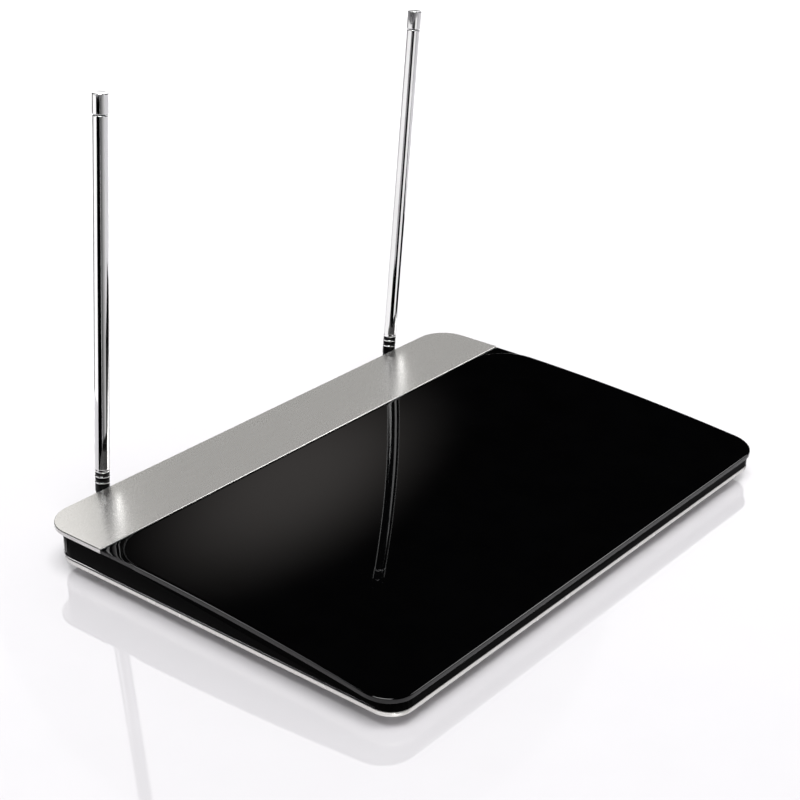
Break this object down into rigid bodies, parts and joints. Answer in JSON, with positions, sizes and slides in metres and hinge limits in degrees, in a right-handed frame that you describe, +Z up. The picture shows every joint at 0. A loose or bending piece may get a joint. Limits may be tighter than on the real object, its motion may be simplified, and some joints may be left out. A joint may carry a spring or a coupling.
{
  "type": "rabbit ears antenna",
  "caption": "Thin wedge-shaped indoor television aerial with a glossy black top, a satin metal rear strip and two telescopic rods on fan and tilt pivots.",
  "frame": {"origin": "centre of the whole object's box at floor level", "axes": "+X across the width to the right, +Y towards the rear edge with the rods, +Z up"},
  "size_m": [0.25, 0.1836, 0.1783],
  "materials": {
    "gloss_black": "high gloss black",
    "satin_metal": "satin brushed",
    "grey_plastic": "light grey moulded",
    "black_plastic": "semi-gloss black",
    "chrome": "polished plating",
    "rubber": "matt",
    "zinc_steel": "zinc plated",
    "board_green": "solder resist",
    "bronze": "bright spring bronze",
    "white_plastic": "plain"
  },
  "bodies": {
    "base": {"top_plate": "gloss_black", "rear_trim": "satin_metal", "body_shell": "gloss_black", "base_cover": "grey_plastic", "ballast_plate": "zinc_steel", "circuit_board": "board_green", "balun_can": "zinc_steel", "foot_1": "rubber", "foot_2": "rubber", "foot_3": "rubber", "foot_4": "rubber", "case_screw_1": "zinc_steel", "case_screw_2": "zinc_steel", "case_screw_3": "zinc_steel", "case_screw_4": "zinc_steel", "case_screw_5": "zinc_steel", "case_screw_6": "zinc_steel", "board_screw_1": "zinc_steel", "board_screw_2": "zinc_steel", "board_screw_3": "zinc_steel", "board_screw_4": "zinc_steel", "coax_socket": "zinc_steel", "coax_insulator": "white_plastic", "coax_contact": "bronze", "pivot_bush_left": "black_plastic", "spring_washer_left": "zinc_steel", "contact_spring_left": "bronze", "pivot_bush_right": "black_plastic", "spring_washer_right": "zinc_steel", "contact_spring_right": "bronze"},
    "swivel_left": {"swivel_left": "black_plastic", "retaining_ring_left": "zinc_steel", "tilt_pin_left": "zinc_steel"},
    "rod_left": {"rod_socket_left": "black_plastic", "lower_ring_left": "chrome", "upper_ring_left": "chrome", "tube_1_left": "chrome"},
    "section_2_left": {"tube_2_left": "chrome"},
    "section_3_left": {"tube_3_left": "chrome"},
    "section_4_left": {"tube_4_left": "chrome"},
    "section_5_left": {"tip_rod_left": "chrome", "tip_cap_left": "chrome"},
    "swivel_right": {"swivel_right": "black_plastic", "retaining_ring_right": "zinc_steel", "tilt_pin_right": "zinc_steel"},
    "rod_right": {"rod_socket_right": "black_plastic", "lower_ring_right": "chrome", "upper_ring_right": "chrome", "tube_1_right": "chrome"},
    "section_2_right": {"tube_2_right": "chrome"},
    "section_3_right": {"tube_3_right": "chrome"},
    "section_4_right": {"tube_4_right": "chrome"},
    "section_5_right": {"tip_rod_right": "chrome", "tip_cap_right": "chrome"}
  },
  "joints": [
    {"name": "fan_left", "type": "hinge", "parent": "base", "child": "swivel_left", "pos_m": [-0.09, 0.0878, 0.0131], "axis": [0, 1, 0], "range_deg": [-94.9, 1.6]},
    {"name": "tilt_left", "type": "hinge", "parent": "swivel_left", "child": "rod_left", "pos_m": [-0.09, 0.0878, 0.0131], "axis": [-0.9963, 0, 0.0854], "range_deg": [0, 90]},
    {"name": "extend_2_left", "type": "slide", "parent": "rod_left", "child": "section_2_left", "axis": [0.0854, 0, 0.9963], "range_m": [0, 0.124]},
    {"name": "extend_3_left", "type": "slide", "parent": "section_2_left", "child": "section_3_left", "axis": [0.0854, 0, 0.9963], "range_m": [0, 0.124]},
    {"name": "extend_4_left", "type": "slide", "parent": "section_3_left", "child": "section_4_left", "axis": [0.0854, 0, 0.9963], "range_m": [0, 0.124]},
    {"name": "extend_5_left", "type": "slide", "parent": "section_4_left", "child": "section_5_left", "axis": [0.0854, 0, 0.9963], "range_m": [0, 0.124]},
    {"name": "fan_right", "type": "hinge", "parent": "base", "child": "swivel_right", "pos_m": [0.09, 0.0878, 0.0131], "axis": [0, 1, 0], "range_deg": [-12.9, 83.6]},
    {"name": "tilt_right", "type": "hinge", "parent": "swivel_right", "child": "rod_right", "pos_m": [0.09, 0.0878, 0.0131], "axis": [-0.9938, 0, 0.1115], "range_deg": [0, 90]},
    {"name": "extend_2_right", "type": "slide", "parent": "rod_right", "child": "section_2_right", "axis": [0.1115, 0, 0.9938], "range_m": [0, 0.124]},
    {"name": "extend_3_right", "type": "slide", "parent": "section_2_right", "child": "section_3_right", "axis": [0.1115, 0, 0.9938], "range_m": [0, 0.124]},
    {"name": "extend_4_right", "type": "slide", "parent": "section_3_right", "child": "section_4_right", "axis": [0.1115, 0, 0.9938], "range_m": [0, 0.124]},
    {"name": "extend_5_right", "type": "slide", "parent": "section_4_right", "child": "section_5_right", "axis": [0.1115, 0, 0.9938], "range_m": [0, 0.124]}
  ]
}
